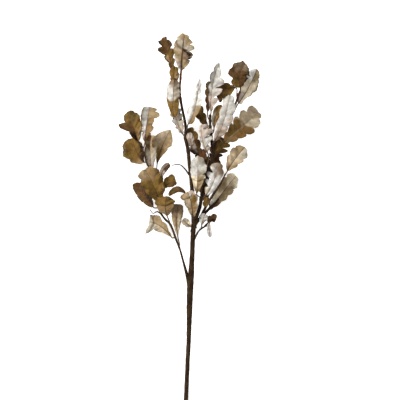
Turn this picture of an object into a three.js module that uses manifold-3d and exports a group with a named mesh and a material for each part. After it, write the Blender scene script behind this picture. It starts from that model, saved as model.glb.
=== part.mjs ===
// Oak leaf stem: a cut branch of dried oak leaves, lying on a flat surface, in millimetres.
// The stem runs along +Y, its sprays spread along X, and +Z points up from the surface.
// Plan coordinates put x = 0 near the stem and y = 0 just above its cut end.
import * as THREE from 'three';
import Module from 'manifold-3d';

const wasm = await Module();
wasm.setup();

// Driving dimensions
const BLADE_THICKNESS = 0.8;
const PETIOLE_HALF_WIDTH = 1.4;
const PETIOLE_EDGE = 0.6;
const RIB_HEIGHT = 0.6;
const TIP_HALF_WIDTH = 0.8;
const SEAT_GAP = 0.3;
const SEAT_STEP = 0.1;
const LEAVING_ANGLE = THREE.MathUtils.degToRad(50);
const STEPS_PER_LOBE = 4;
const PETIOLE_STEPS = 3;
const PETIOLE_REACH = 0.4;
const LOBE_LEAN = 0.3;
const LOBE_ROUNDNESS = 0.7;
const BLUNTNESS = 3;
const POINTEDNESS = 0.5;
const FLOOR_SOFTNESS = 3;
const LIMB_STEP = 22;
const LEAST_LIMB_STEPS = 4;
const LIMB_SIDES = 8;
const BUD_LENGTH = 0.8;
const BUD_TAPER = 0.45;
const RING_POINTS = 6;

// Colours of the bark and of the leaf faces that show
const SURFACES = {
  bark: { color: 0x3b2a1c, roughness: 0.85 },
  brown: { color: 0x7d5c30, roughness: 0.7 },
  tan: { color: 0xa58a68, roughness: 0.75 },
  pale: { color: 0xd8d3c8, roughness: 0.85 },
};

// The woody limbs, each a list of centre points with their radius: [x, y, z, radius]
const LIMBS = {
  trunk: [[-6.3, -24, 5.5, 5.5], [-1.3, 84, 17, 5.4], [1.6, 144, 24, 5.5], [3.4, 215, 32.5, 7.2],
    [5, 262, 38, 7.9], [7.4, 302, 42.5, 7.3], [10.6, 360, 49.5, 5.7], [12.6, 408, 55, 5.7],
    [16.5, 434, 58, 5.4], [19, 446, 59, 4.3]],
  leader: [[14.5, 412, 55.5, 5.4], [12, 468, 61, 5], [10, 504, 63, 4.6], [3.6, 564, 64, 4.2],
    [0, 600, 63, 4.1], [-5.5, 626, 62, 4.1], [-4.8, 648, 61, 3.6], [-7.2, 667, 60, 3.3],
    [-15.6, 708, 58, 3.2], [-20.4, 744, 57, 3.3], [-18, 768, 57, 2.6], [-17.4, 780, 58, 2.3]],
  right_leader: [[16, 428, 57, 4.6], [27.6, 461, 60, 4.3], [33.6, 490, 62, 4.1], [48, 538, 67, 3.8],
    [60, 588, 71, 3.7], [56, 624, 73, 3.4], [53, 660, 75, 3], [53, 680, 76, 2.7]],
  upper_right: [[59, 584, 71, 3.5], [67, 617, 67, 3.2], [86, 653, 62, 3.1], [104, 684, 59, 3.2],
    [115, 713, 58, 2.6], [124, 738, 59, 2.2]],
  lower_right: [[15, 420, 56, 4.1], [41, 449, 50, 3.5], [65, 473, 45, 2.6], [72, 480, 43, 2.2]],
  side_right: [[30, 438, 54, 3.1], [42, 462, 67, 3.1], [58, 490, 84, 2.9], [77, 518, 89, 2.4],
    [88, 540, 86, 1.7]],
  left: [[5, 262, 38, 5.5], [-1.5, 295, 43, 4.2], [-11, 331, 48, 2.8], [-19, 360, 51, 2.4],
    [-28, 384, 53, 2.8], [-43, 422, 53, 2.6], [-55, 434, 52, 2.5], [-65, 449, 51, 2.6],
    [-67, 473, 50, 2.8], [-63, 497, 49, 2.8], [-66, 520, 47, 2.5], [-79, 545, 44, 2.4],
    [-97, 564, 42, 2.2], [-107, 595, 40, 2.1], [-114, 608, 39, 1.9]],
  bare_twig: [[3, 540, 64, 1.9], [-7, 554, 66, 1.6], [-17, 563, 68, 1.3], [-24, 565, 69, 1.2],
    [-37, 563, 69, 1]],
  low_twig: [[13, 382, 52, 2.6], [26, 406, 57, 1.8], [36, 414, 60, 1.6], [44, 418, 62, 1.4]],
  hook: [[-63, 446, 51, 1.9], [-74, 452, 55, 1.6], [-84, 448, 58, 1.3], [-90, 456, 60, 1.2]],
};

// The leaves. foot is the place on the limb; base, mid and tip are the midrib in plan, and
// z gives their heights. half is the widest reach left and right of the midrib, seen with
// the tip away from the viewer. left and right are how far each half is raised, in degrees,
// at the base and at the tip. lobes is how many each half has, and depth how deep they are
// cut, left and right. peak above 1 moves the widest place towards the tip, blunt above 3
// squares the tip, and pointed above 0.5 draws both ends to a point. swell makes single lobes
// longer or shorter, from base to tip, left and right. lean moves the margins towards the tip,
// or towards the base where it is below 0.
const LEAVES = {
  left_leaf_01: { on: 'left', foot: [-114, 608], base: [-120, 621], mid: [-131, 654], tip: [-147, 692],
    z: [36, 40, 34], half: [24, 26], left: [-5, -15], right: [25, 10], lobes: 3, depth: [0.4, 0.15],
    swell: [[0.5, 2, 0.3], [1, 1, 0.9, 0.6]], blunt: 1.6, pointed: 0.6, lean: 0.5, face: 'brown' },
  left_leaf_02: { on: 'left', foot: [-108, 598], base: [-103, 620], mid: [-99, 658], tip: [-91, 702],
    z: [58, 66, 70], half: [21, 27], left: [40, 30], right: [10, 5], lobes: 5, depth: [0.04, 0.42],
    swell: [[1, 1, 1, 1, 1], [1, 0.9, 0.8, 0.2, 1.1, 1.1]], peak: 1.15, blunt: 8, lean: 0.15, face: 'tan' },
  left_leaf_03: { on: 'left', foot: [-99, 568], base: [-106, 571], mid: [-121, 588], tip: [-136, 630],
    z: [34, 20, 10], half: [32, 21], left: [5, 10], right: [25, 15], lobes: 3, depth: [0.15, 0.15],
    swell: [[1.2, 1.4, 0.5], [1, 1, 1, 1]], face: 'brown' },
  left_leaf_04: { on: 'left', foot: [-66, 521], base: [-75, 538], mid: [-68, 590], tip: [-42, 648],
    z: [62, 66, 72], half: [27, 22], left: [40, 5], right: [45, -5], lobes: 2, depth: [0.1, 0.3],
    swell: [[1, 1], [0.2, 0.9, 1]], peak: 3.4, blunt: 1.5, pointed: 0.8, lean: -0.6, face: 'tan' },
  left_leaf_05: { on: 'left', foot: [-79, 545], base: [-87, 556], mid: [-90, 592], tip: [-87, 634],
    z: [56, 76, 72], half: [16, 20], left: [30, 35], right: [40, 25], lobes: 3, depth: [0.15, 0.15],
    face: 'pale' },
  left_leaf_06: { on: 'left', foot: [-67, 470], base: [-68, 478], mid: [-81, 512], tip: [-102, 553],
    z: [58, 74, 70], half: [26, 31], left: [5, 15], right: [20, 15], lobes: 4, depth: [0.2, 0.2],
    swell: [[1, 1, 0.8, 1.4], [1, 1.2, 1, 0.8, 1]], face: 'brown' },
  left_leaf_07: { on: 'left', foot: [-66, 455], base: [-84, 463], mid: [-106, 490], tip: [-128, 522],
    z: [42, 20, -14], half: [16, 20], left: [10, 5], right: [15, 0], lobes: 3, depth: [0.15, 0.15],
    face: 'brown' },
  left_leaf_08: { on: 'left', foot: [-64, 510], base: [-58, 512], mid: [-45, 519], tip: [-29, 526],
    z: [56, 62, 60], half: [20, 12], left: [10, 5], right: [30, 20], lobes: 2, depth: [0.15, 0.15],
    face: 'brown' },
  left_leaf_09: { on: 'left', foot: [-66, 520], base: [-63, 530], mid: [-60, 550], tip: [-44, 566],
    z: [58, 68, 68], half: [10, 10], left: [50, 40], right: [30, 20], lobes: 2, depth: [0.15, 0.15],
    face: 'tan' },
  left_leaf_10: { on: 'left', foot: [-46, 425], base: [-50, 442], mid: [-54, 465], tip: [-50, 489],
    z: [66, 84, 78], half: [26, 24], left: [-10, -20], right: [-10, -20], lobes: 3, depth: [0.1, 0.1],
    peak: 0.9, face: 'tan' },
  left_leaf_11: { on: 'left', foot: [-25, 378], base: [-39, 390], mid: [-64, 415], tip: [-94, 428],
    z: [46, 34, 22], half: [20, 20], left: [15, -5], right: [20, -5], lobes: 3, depth: [0.25, 0.25],
    swell: [[0.5, 0.7, 3.4], [1, 1, 1.2, 1.4]], peak: 1.6, face: 'tan' },
  left_leaf_12: { on: 'left', foot: [-25, 377], base: [-24, 390], mid: [-26, 428], tip: [-24, 470],
    z: [60, 68, 64], half: [16, 16], left: [25, 15], right: [35, 20], lobes: 3, depth: [0.12, 0.12],
    peak: 1.8, face: 'tan' },
  stem_leaf_01: { on: 'trunk', foot: [15, 416], base: [6, 417], mid: [-2, 424], tip: [-12, 434],
    z: [64, 67, 68], half: [9, 9], left: [15, 10], right: [15, 10], lobes: 2, depth: [0.1, 0.1],
    face: 'tan' },
  stem_leaf_02: { on: 'leader', foot: [10, 499], base: [-4, 493], mid: [-23, 502], tip: [-44, 489],
    z: [66, 72, 68], half: [4, 12], left: [10, 30], right: [-10, -20], lobes: 2, depth: [0.15, 0.15],
    face: 'brown' },
  top_leaf_01: { on: 'leader', foot: [-20, 748], base: [-33, 775], mid: [-44, 820], tip: [-61, 872],
    z: [48, 44, 34], half: [18, 17], left: [5, 15], right: [10, 25], lobes: 5, depth: [0.6, 0.5],
    swell: [[0.4, 0.4, 0.7, 1.4, 0.9], [0.8, 0.8, 0.9, 1.2, 1.1, 1]], peak: 1.5, face: 'brown' },
  top_leaf_02: { on: 'leader', foot: [-17.4, 780], base: [-16, 791], mid: [-13, 834], tip: [-8, 876],
    z: [60, 78, 64], half: [23, 27], left: [25, 5], right: [20, -15], lobes: 5, depth: [0.12, 0.4],
    swell: [[1, 1, 1, 1, 1], [0.8, 1.2, 1.2, 1.2, 0.8, 0.6]], peak: 0.95, lean: 0.05, face: 'tan' },
  top_leaf_03: { on: 'leader', foot: [-20, 732], base: [-27, 750], mid: [-33, 772], tip: [-31, 799],
    z: [60, 64, 66], half: [12, 13], left: [20, 10], right: [20, 10], lobes: 2, depth: [0.3, 0.3],
    face: 'brown' },
  top_leaf_04: { on: 'leader', foot: [-20, 740], base: [-32, 766], mid: [-35, 726], tip: [-31, 676],
    z: [80, 84, 76], half: [16, 17], left: [-10, 0], right: [-10, -10], lobes: 3, depth: [0.15, 0.15],
    peak: 0.7, lean: -0.5, face: 'pale' },
  top_leaf_05: { on: 'leader', foot: [-5.5, 628], base: [-13, 638], mid: [-25, 667], tip: [-36, 706],
    z: [66, 66, 58], half: [13, 18], left: [15, 10], right: [20, 0], lobes: 5, depth: [0.5, 0.5],
    face: 'pale' },
  top_leaf_08: { on: 'leader', foot: [-5.5, 628], base: [-14, 642], mid: [-25, 668], tip: [-33, 699],
    z: [52, 48, 42], half: [10, 14], left: [10, 5], right: [10, 5], lobes: 3, depth: [0.15, 0.15],
    face: 'brown' },
  top_leaf_06: { on: 'leader', foot: [-5, 640], base: [1, 662], mid: [18, 704], tip: [28, 768],
    z: [68, 74, 76], half: [17, 13], left: [20, 40], right: [15, 35], lobes: 2, depth: [0.45, 0.45],
    swell: [[1.3, 0.3], [1.2, 1.2, 0.8]], peak: 0.6, face: 'pale' },
  top_leaf_07: { on: 'leader', foot: [0, 596], base: [9, 606], mid: [7, 622], tip: [2, 640],
    z: [68, 72, 74], half: [9, 9], left: [15, 10], right: [15, 10], lobes: 2, depth: [0.2, 0.2],
    face: 'pale' },
  middle_leaf_01: { on: 'right_leader', foot: [54, 645], base: [46, 654], mid: [30, 682], tip: [16, 709],
    z: [64, 56, 54], half: [13, 15], left: [10, 5], right: [10, 5], lobes: 3, depth: [0.35, 0.35],
    face: 'brown' },
  middle_leaf_02: { on: 'right_leader', foot: [45, 528], base: [36, 572], mid: [20, 610], tip: [5, 654],
    z: [58, 50, 48], half: [23, 14], left: [5, 10], right: [20, 10], lobes: 4, depth: [0.42, 0.42],
    face: 'brown' },
  middle_leaf_03: { on: 'right_leader', foot: [50, 548], base: [46, 594], mid: [34, 624], tip: [32, 659],
    z: [84, 92, 90], half: [6, 30], left: [20, 20], right: [10, 5], lobes: 3, depth: [0.6, 0.65],
    face: 'pale' },
  middle_leaf_04: { on: 'right_leader', foot: [33, 487], base: [21, 496], mid: [23, 538], tip: [24, 586],
    z: [76, 86, 74], half: [18, 21], left: [15, 5], right: [15, 0], lobes: 3, depth: [0.45, 0.45],
    swell: [[0.3, 1.1, 1], [0.3, 0.5, 1.1, 1]], pointed: 0.65, face: 'pale' },
  middle_leaf_05: { on: 'right_leader', foot: [32, 482], base: [43, 492], mid: [60, 522], tip: [74, 568],
    z: [69, 75, 74], half: [22, 18], left: [5, 5], right: [0, 0], lobes: 4, depth: [0.5, 0.3],
    face: 'pale' },
  middle_leaf_06: { on: 'trunk', foot: [17, 430], base: [12, 440], mid: [9, 468], tip: [0, 499],
    z: [74, 88, 90], half: [18, 20], left: [20, 10], right: [35, 15], lobes: 3, depth: [0.25, 0.25],
    swell: [[1, 0.8, 2], [1, 1, 1, 1]], peak: 1.2, face: 'tan' },
  middle_leaf_07: { on: 'right_leader', foot: [55, 565], base: [57, 577], mid: [67, 600], tip: [82, 630],
    z: [58, 54, 52], half: [20, 28], left: [10, 5], right: [5, 0], lobes: 4, depth: [0.55, 0.55],
    face: 'brown' },
  middle_leaf_08: { on: 'side_right', foot: [38, 455], base: [40, 464], mid: [43, 473], tip: [49, 485],
    z: [76, 82, 82], half: [9, 9], left: [15, 10], right: [15, 10], lobes: 2, depth: [0.2, 0.2],
    face: 'brown' },
  middle_leaf_09: { on: 'right_leader', foot: [44, 524], base: [43, 536], mid: [44, 556], tip: [42, 584],
    z: [50, 42, 40], half: [18, 18], left: [5, 5], right: [5, 5], lobes: 3, depth: [0.35, 0.35],
    face: 'brown' },
  middle_leaf_10: { on: 'lower_right', foot: [50, 458], base: [45, 476], mid: [43, 504], tip: [47, 530],
    z: [43, 38, 36], half: [20, 14], left: [5, 5], right: [0, 0], lobes: 3, depth: [0.2, 0.3],
    face: 'brown' },
  middle_leaf_11: { on: 'right_leader', foot: [41, 514], base: [34, 534], mid: [35, 568], tip: [40, 602],
    z: [62, 67, 67], half: [12, 9], left: [0, 0], right: [0, 0], lobes: 3, depth: [0.35, 0.35],
    face: 'brown' },
  middle_leaf_12: { on: 'right_leader', foot: [44, 524], base: [55, 533], mid: [63, 556], tip: [67, 586],
    z: [60, 50, 44], half: [14, 14], left: [5, 5], right: [5, 5], lobes: 3, depth: [0.35, 0.35],
    face: 'brown' },
  right_leaf_01: { on: 'right_leader', foot: [53, 676], base: [55, 690], mid: [57, 745], tip: [74, 808],
    z: [84, 90, 84], half: [12, 26], left: [40, 30], right: [15, 20], lobes: 5, depth: [0.5, 0.5],
    swell: [[0.8, 0.8, 1, 1.2, 0.8], [1, 1.2, 1.2, 1.1, 0.3, 0]], peak: 0.85, pointed: 0.75, face: 'pale' },
  right_leaf_02: { on: 'right_leader', foot: [53, 668], base: [47, 690], mid: [50, 726], tip: [50, 764],
    z: [70, 66, 64], half: [10, 10], left: [10, 5], right: [10, 5], lobes: 4, depth: [0.4, 0.4],
    face: 'brown' },
  right_leaf_03: { on: 'right_leader', foot: [55, 635], base: [62, 650], mid: [66, 678], tip: [80, 706],
    z: [84, 90, 88], half: [11, 11], left: [25, 20], right: [25, 20], lobes: 2, depth: [0.15, 0.15],
    pointed: 0.7, face: 'brown' },
  right_leaf_04: { on: 'right_leader', foot: [59, 603], base: [63, 620], mid: [85, 668], tip: [99, 728],
    z: [88, 100, 98], half: [16, 21], left: [15, 10], right: [10, 5], lobes: 4, depth: [0.3, 0.3],
    face: 'pale' },
  right_leaf_05: { on: 'upper_right', foot: [121, 730], base: [112, 748], mid: [90, 745], tip: [65, 736],
    z: [68, 70, 72], half: [30, 18], left: [20, 10], right: [10, 10], lobes: 3, depth: [0.35, 0.35],
    swell: [[1, 1.6, 1.3], [1, 1, 1, 1]], face: 'brown' },
  right_leaf_06: { on: 'upper_right', foot: [124, 738], base: [125, 749], mid: [124, 780], tip: [138, 806],
    z: [62, 70, 62], half: [28, 24], left: [10, 0], right: [15, 0], lobes: 3, depth: [0.25, 0.25],
    swell: [[1, 1.1, 0.7], [1, 1, 1, 1]], lean: -0.1, face: 'brown' },
  right_leaf_07: { on: 'upper_right', foot: [106, 690], base: [121, 712], mid: [144, 748], tip: [166, 796],
    z: [50, 44, 37], half: [24, 24], left: [25, 30], right: [-25, -30], lobes: 3, depth: [0.3, 0.3],
    lean: 0, face: 'tan' },
  right_leaf_08: { on: 'upper_right', foot: [67, 617], base: [86, 618], mid: [125, 652], tip: [171, 694],
    z: [58, 32, -14], half: [30, 27], left: [10, 5], right: [0, -5], lobes: 5, depth: [0.38, 0.38],
    swell: [[1, 1, 1, 1.1, 1.2], [1, 0.9, 1, 1.3, 1.1, 1]], face: 'brown' },
  right_leaf_09: { on: 'side_right', foot: [88, 540], base: [94, 549], mid: [110, 575], tip: [136, 606],
    z: [84, 80, 70], half: [22, 21], left: [10, 10], right: [15, 10], lobes: 4, depth: [0.25, 0.25],
    pointed: 0.65, face: 'tan' },
  right_leaf_10: { on: 'lower_right', foot: [41, 449], base: [50, 456], mid: [82, 496], tip: [115, 538],
    z: [40, 34, 22], half: [22, 20], left: [15, 10], right: [10, 0], lobes: 5, depth: [0.28, 0.28],
    peak: 1.2, face: 'tan' },
  cluster_leaf_01: { on: 'low_twig', foot: [27, 407], base: [33, 421], mid: [35, 432], tip: [42, 446],
    z: [68, 72, 74], half: [11, 11], left: [20, 10], right: [20, 10], lobes: 2, depth: [0.3, 0.3],
    face: 'pale' },
  cluster_leaf_02: { on: 'low_twig', foot: [36, 414], base: [52, 426], mid: [50, 411], tip: [54, 392],
    z: [70, 73, 66], half: [6, 6], left: [20, 20], right: [20, 20], lobes: 2, depth: [0.05, 0.05],
    face: 'pale' },
  cluster_leaf_03: { on: 'low_twig', foot: [36, 414], base: [48, 425], mid: [56, 434], tip: [67, 433],
    z: [55, 55, 56], half: [13, 10], left: [20, 10], right: [10, 10], lobes: 2, depth: [0.4, 0.3],
    face: 'brown' },
};

function materialOf(name) {
  return new THREE.MeshStandardMaterial({ ...SURFACES[name], metalness: 0, name });
}

// A limb's centre line, sampled evenly, with the radius and direction at each sample
function sampleLimb(points) {
  const curve = new THREE.CatmullRomCurve3(points.map(([x, y, z]) => new THREE.Vector3(x, y, z)));
  const steps = Math.max(LEAST_LIMB_STEPS, Math.round(curve.getLength() / LIMB_STEP));
  const samples = [];
  for (let i = 0; i <= steps; i += 1) {
    const place = (i / steps) * (points.length - 1);
    const before = Math.min(Math.floor(place), points.length - 2);
    const share = place - before;
    samples.push({
      centre: curve.getPoint(i / steps),
      along: curve.getTangent(i / steps),
      radius: THREE.MathUtils.lerp(points[before][3], points[before + 1][3], share),
    });
  }
  return samples;
}

// A closed mesh from rings of points that all have the same count, with flat ends
function skinRings(rings) {
  const count = rings[0].length;
  const positions = rings.flat().flatMap((point) => point.toArray());
  const faces = [];
  for (let i = 0; i + 1 < rings.length; i += 1) {
    for (let j = 0; j < count; j += 1) {
      const a = i * count + j;
      const b = i * count + ((j + 1) % count);
      faces.push(a, b, b + count, a, b + count, a + count);
    }
  }
  const last = (rings.length - 1) * count;
  for (let j = 1; j + 1 < count; j += 1) {
    faces.push(0, j + 1, j, last, last + j, last + j + 1);
  }
  const geometry = new THREE.BufferGeometry();
  geometry.setAttribute('position', new THREE.Float32BufferAttribute(positions, 3));
  geometry.setIndex(faces);
  return geometry;
}

// A round tapering limb, cut square at its foot and drawn in like a bud at its tip
function limbGeometry(samples) {
  const tip = samples[samples.length - 1];
  const bud = {
    centre: tip.centre.clone().addScaledVector(tip.along, BUD_LENGTH * tip.radius),
    along: tip.along,
    radius: BUD_TAPER * tip.radius,
  };
  const rings = [...samples, bud].map(({ centre, along, radius }) => {
    const side = new THREE.Vector3(along.y, -along.x, 0).normalize();
    const up = new THREE.Vector3().crossVectors(side, along);
    const ring = [];
    for (let j = 0; j < LIMB_SIDES; j += 1) {
      const turn = (2 * Math.PI * j) / LIMB_SIDES;
      ring.push(centre.clone()
        .addScaledVector(side, radius * Math.cos(turn))
        .addScaledVector(up, radius * Math.sin(turn)));
    }
    return ring.reverse();
  });
  return skinRings(rings);
}

function toSolid(geometry) {
  return new wasm.Manifold(new wasm.Mesh({
    numProp: 3,
    vertProperties: new Float32Array(geometry.attributes.position.array),
    triVerts: new Uint32Array(geometry.index.array),
  }));
}

function toGeometry(solid) {
  const mesh = solid.getMesh();
  const geometry = new THREE.BufferGeometry();
  geometry.setAttribute('position', new THREE.Float32BufferAttribute(mesh.vertProperties, mesh.numProp));
  geometry.setIndex(Array.from(mesh.triVerts));
  return geometry;
}

// How far a point stands off the bark of the nearest limb
function barkDistance(point) {
  let least = Infinity;
  const line = new THREE.Line3();
  const closest = new THREE.Vector3();
  for (const samples of Object.values(limbs)) {
    for (let i = 0; i + 1 < samples.length; i += 1) {
      line.set(samples[i].centre, samples[i + 1].centre);
      const share = line.closestPointToPointParameter(point, true);
      const radius = THREE.MathUtils.lerp(samples[i].radius, samples[i + 1].radius, share);
      least = Math.min(least, line.at(share, closest).distanceTo(point) - radius);
    }
  }
  return least;
}

// The place just off the bark where a petiole starts, and the direction in which it leaves
function petioleSeat(samples, foot, base) {
  const distance = ({ centre }) => Math.hypot(centre.x - foot[0], centre.y - foot[1]);
  const nearest = samples.reduce((best, sample) => (distance(sample) < distance(best) ? sample : best));
  const leaving = base.clone().sub(nearest.centre).normalize();
  if (nearest !== samples[samples.length - 1]) {
    const forward = Math.sign(leaving.dot(nearest.along)) || 1;
    leaving.addScaledVector(nearest.along, -leaving.dot(nearest.along)).normalize()
      .multiplyScalar(Math.sin(LEAVING_ANGLE))
      .addScaledVector(nearest.along, forward * Math.cos(LEAVING_ANGLE));
  }
  const side = new THREE.Vector3(leaving.y, -leaving.x, 0).setLength(PETIOLE_HALF_WIDTH);
  const up = new THREE.Vector3().crossVectors(side, leaving);
  const start = nearest.centre.clone();
  const corners = [side, side.clone().negate(), up, up.clone().negate()];
  while (Math.min(...corners.map((corner) => barkDistance(corner.clone().add(start)))) < SEAT_GAP) {
    start.addScaledVector(leaving, SEAT_STEP);
  }
  return { start, leaving };
}

// The outline of a half blade: narrow at the base, widest past the middle, cut into lobes
function halfWidth(t, leaf, side) {
  const u = t ** (leaf.peak ?? 1);
  const blunt = leaf.blunt ?? BLUNTNESS;
  const widest = (1 / (blunt + 1)) ** (1 / blunt) * (blunt / (blunt + 1));
  const outline = (u * (1 - u ** blunt) / widest) ** (leaf.pointed ?? POINTEDNESS);
  const place = leaf.lobes * t + side / 2;
  const lobe = Math.floor(place);
  const swell = leaf.swell?.[side][lobe] ?? 1;
  const bump = swell * Math.sin(Math.PI * (place - lobe)) ** LOBE_ROUNDNESS;
  return leaf.half[side] * outline * (1 - leaf.depth[side] + leaf.depth[side] * bump);
}

// Heights near the surface are eased up, so a low blade lies along the surface
function restHeight(z) {
  const low = BLADE_THICKNESS / 2;
  return low + FLOOR_SOFTNESS * Math.log(1 + Math.exp((z - low) / FLOOR_SOFTNESS));
}

// The rows of the middle surface of a leaf: left edge, midrib, right edge
function leafRows(leaf, samples) {
  const [base, mid, tip] = [leaf.base, leaf.mid, leaf.tip]
    .map(([x, y], i) => new THREE.Vector3(x, y, leaf.z[i]));
  const bend = mid.clone().multiplyScalar(2).addScaledVector(base, -0.5).addScaledVector(tip, -0.5);
  const blade = new THREE.QuadraticBezierCurve3(base, bend, tip);
  const { start, leaving } = petioleSeat(samples, leaf.foot, base);
  const reach = PETIOLE_REACH * start.distanceTo(base);
  const lead = base.clone().addScaledVector(blade.getTangent(0), -reach);
  const set = start.clone().addScaledVector(leaving, reach);
  const petiole = new THREE.CubicBezierCurve3(start, set, lead, base);
  const across = new THREE.Vector3(tip.y - base.y, base.x - tip.x, 0).normalize();

  const row = (curve, u, t, widths, rod) => {
    const centre = curve.getPoint(u);
    const along = curve.getTangent(u);
    const side = across.clone().addScaledVector(along, -across.dot(along)).normalize();
    const normal = new THREE.Vector3().crossVectors(side, along);
    const edge = (width, sign, raised) => {
      const angle = THREE.MathUtils.degToRad(THREE.MathUtils.lerp(raised[0], raised[1], t));
      const lean = rod ? 0 : (leaf.lean ?? LOBE_LEAN) * (width - PETIOLE_HALF_WIDTH);
      return centre.clone()
        .addScaledVector(side, sign * width * Math.cos(angle))
        .addScaledVector(normal, width * Math.sin(angle))
        .addScaledVector(along, lean);
    };
    const points = [edge(widths[0], -1, leaf.left), centre, edge(widths[1], 1, leaf.right)];
    points.forEach((point) => point.setZ(restHeight(point.z)));
    return { points, rod, t };
  };

  const rows = [];
  for (let i = 0; i < PETIOLE_STEPS; i += 1) {
    rows.push(row(petiole, i / PETIOLE_STEPS, 0, [PETIOLE_HALF_WIDTH, PETIOLE_HALF_WIDTH], true));
  }
  const steps = leaf.lobes * STEPS_PER_LOBE;
  for (let i = 0; i <= steps; i += 1) {
    const t = i / steps;
    const least = THREE.MathUtils.lerp(PETIOLE_HALF_WIDTH, TIP_HALF_WIDTH, t);
    const widths = [0, 1].map((side) => Math.max(least, halfWidth(t, leaf, side)));
    rows.push(row(blade, t, t, widths, i === 0));
  }
  return rows;
}

// The upward direction of the middle surface at each point, from the points around it
function surfaceNormal(rows, i, j) {
  const before = rows[Math.max(i - 1, 0)].points;
  const after = rows[Math.min(i + 1, rows.length - 1)].points;
  const along = after[1].clone().sub(before[1]);
  const here = rows[i].points;
  const across = here[Math.min(j + 1, 2)].clone().sub(here[Math.max(j - 1, 0)]);
  return across.cross(along).normalize();
}

function leafGeometry(leaf, samples) {
  const rows = leafRows(leaf, samples);
  const pale = leaf.face === 'pale';
  const rings = rows.map(({ points, rod, t }, i) => {
    const rib = rod ? PETIOLE_HALF_WIDTH : BLADE_THICKNESS / 2 + RIB_HEIGHT * (1 - t);
    const flat = rod ? PETIOLE_HALF_WIDTH : BLADE_THICKNESS / 2;
    const edge = rod ? PETIOLE_EDGE : BLADE_THICKNESS / 2;
    const above = [edge, pale ? rib : flat, edge];
    const below = [edge, pale ? flat : rib, edge];
    const shifted = (heights, sign) => points.map((point, j) => (
      point.clone().addScaledVector(surfaceNormal(rows, i, j), sign * heights[j])));
    const top = shifted(above, 1);
    const under = shifted(below, -1);
    const ring = [...under, ...top.reverse()];
    ring.forEach((point) => point.setZ(Math.max(point.z, 0)));
    return ring;
  });
  return skinStrip(rings);
}

// A closed mesh from six-point rings, with its top and bottom split along the same diagonals
function skinStrip(rings) {
  const positions = rings.flat().flatMap((point) => point.toArray());
  const faces = [];
  const quad = (a, b, c, d) => faces.push(a, b, c, a, c, d);
  for (let i = 0; i + 1 < rings.length; i += 1) {
    const near = i * RING_POINTS;
    const far = near + RING_POINTS;
    quad(near, far, far + 1, near + 1);
    quad(near + 1, far + 1, far + 2, near + 2);
    quad(near + 2, far + 2, far + 3, near + 3);
    faces.push(near + 3, far + 3, near + 4, far + 3, far + 4, near + 4);
    faces.push(near + 4, far + 4, near + 5, far + 4, far + 5, near + 5);
    quad(near + 5, far + 5, far, near);
  }
  const last = (rings.length - 1) * RING_POINTS;
  faces.push(0, 1, 4, 0, 4, 5, 1, 2, 3, 1, 3, 4);
  faces.push(last, last + 4, last + 1, last, last + 5, last + 4);
  faces.push(last + 1, last + 3, last + 2, last + 1, last + 4, last + 3);
  const geometry = new THREE.BufferGeometry();
  geometry.setAttribute('position', new THREE.Float32BufferAttribute(positions, 3));
  geometry.setIndex(faces);
  return geometry;
}

const branch = new THREE.Group();
const limbs = Object.fromEntries(Object.entries(LIMBS).map(([name, points]) => [name, sampleLimb(points)]));

function buildWood() {
  const solids = Object.values(limbs).map((samples) => toSolid(limbGeometry(samples)));
  const joined = solids.reduce((whole, solid) => whole.add(solid));
  const mesh = new THREE.Mesh(toGeometry(joined), materialOf('bark'));
  mesh.name = 'woody_stem';
  branch.add(mesh);
}

function buildLeaves() {
  for (const [name, leaf] of Object.entries(LEAVES)) {
    const mesh = new THREE.Mesh(leafGeometry(leaf, limbs[leaf.on]), materialOf(leaf.face));
    mesh.name = name;
    branch.add(mesh);
  }
}

buildWood();
buildLeaves();

const box = new THREE.Box3().setFromObject(branch);
branch.position.set(-(box.min.x + box.max.x) / 2, -(box.min.y + box.max.y) / 2, -box.min.z);

export default branch;
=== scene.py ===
"""Oak leaf stem: a cut branch of dried oak leaves, lying on a flat surface.

Plan sizes are in millimetres: the stem runs along +Y, its sprays spread along X and +Z
points up from the surface. Every finished mesh is in metres, in the frame of the part.
"""
import math
import random
from dataclasses import dataclass

import bpy
from bpy.props import FloatProperty, FloatVectorProperty, PointerProperty
from bpy.types import Operator, Panel, PropertyGroup
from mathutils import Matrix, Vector, noise


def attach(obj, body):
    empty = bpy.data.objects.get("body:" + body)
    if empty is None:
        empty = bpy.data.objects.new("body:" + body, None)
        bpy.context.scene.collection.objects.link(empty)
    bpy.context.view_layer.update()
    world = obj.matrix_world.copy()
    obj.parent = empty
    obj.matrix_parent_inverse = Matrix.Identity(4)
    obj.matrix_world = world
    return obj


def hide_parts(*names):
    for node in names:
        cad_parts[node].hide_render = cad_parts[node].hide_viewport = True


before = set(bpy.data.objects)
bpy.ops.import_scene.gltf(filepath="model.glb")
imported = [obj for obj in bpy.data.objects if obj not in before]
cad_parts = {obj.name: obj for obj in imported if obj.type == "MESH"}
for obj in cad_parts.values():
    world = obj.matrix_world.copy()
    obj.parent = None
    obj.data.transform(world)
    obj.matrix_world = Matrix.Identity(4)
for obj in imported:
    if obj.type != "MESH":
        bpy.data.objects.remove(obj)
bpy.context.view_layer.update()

bl_info = {
    "name": "Oak leaf stem",
    "version": (1, 0, 0),
    "blender": (4, 5, 0),
    "location": "3D View > Sidebar > Oak leaf stem",
    "description": "Models a cut branch of dried oak leaves around its frame",
    "category": "Object",
}

MM = 0.001

# Where the part's origin lies in plan coordinates
ORIGIN = Vector((4.555, 425.872, 0.025))

# Shape of petioles and blades, the same as in the solids
LEAVING_ANGLE = math.radians(50)
PETIOLE_REACH = 0.4
BLADE_REST = 0.4
FLOOR_SOFTNESS = 3
SEAT_STEP = 22
LEAST_SEATS = 4

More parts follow.
